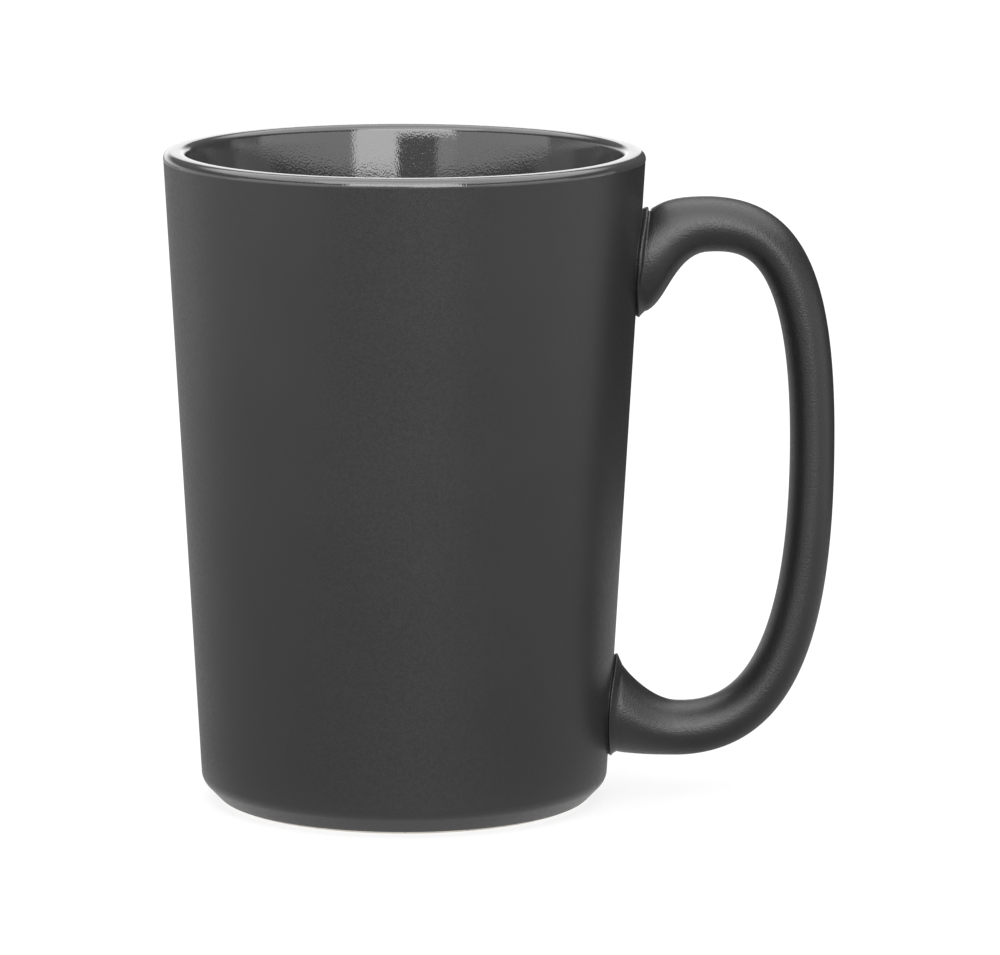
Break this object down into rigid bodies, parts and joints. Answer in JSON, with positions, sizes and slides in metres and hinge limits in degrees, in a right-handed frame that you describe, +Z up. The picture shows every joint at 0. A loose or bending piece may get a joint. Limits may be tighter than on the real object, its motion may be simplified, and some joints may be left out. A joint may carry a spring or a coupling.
{
  "type": "ceramic mug",
  "caption": "Tall tapered stoneware mug with a looped handle, dark matte glaze outside and dark gloss glaze inside and over the lip.",
  "frame": {"origin": "on the cup's own axis, in the plane that the foot ring stands on", "axes": "+Z up along the cup's axis, +X towards the handle, +Y to complete a right-handed frame"},
  "size_m": [0.1239, 0.0886, 0.121],
  "materials": {
    "bare_stoneware": "matte, unglazed",
    "gloss_glaze": "gloss",
    "matte_glaze": "matte"
  },
  "bodies": {
    "root": {"mug_body": "bare_stoneware", "handle": "bare_stoneware", "upper_slip_joint": "bare_stoneware", "lower_slip_joint": "bare_stoneware", "interior_glaze": "gloss_glaze", "exterior_glaze": "matte_glaze", "handle_glaze": "matte_glaze", "base_glaze": "matte_glaze"}
  },
  "joints": []
}
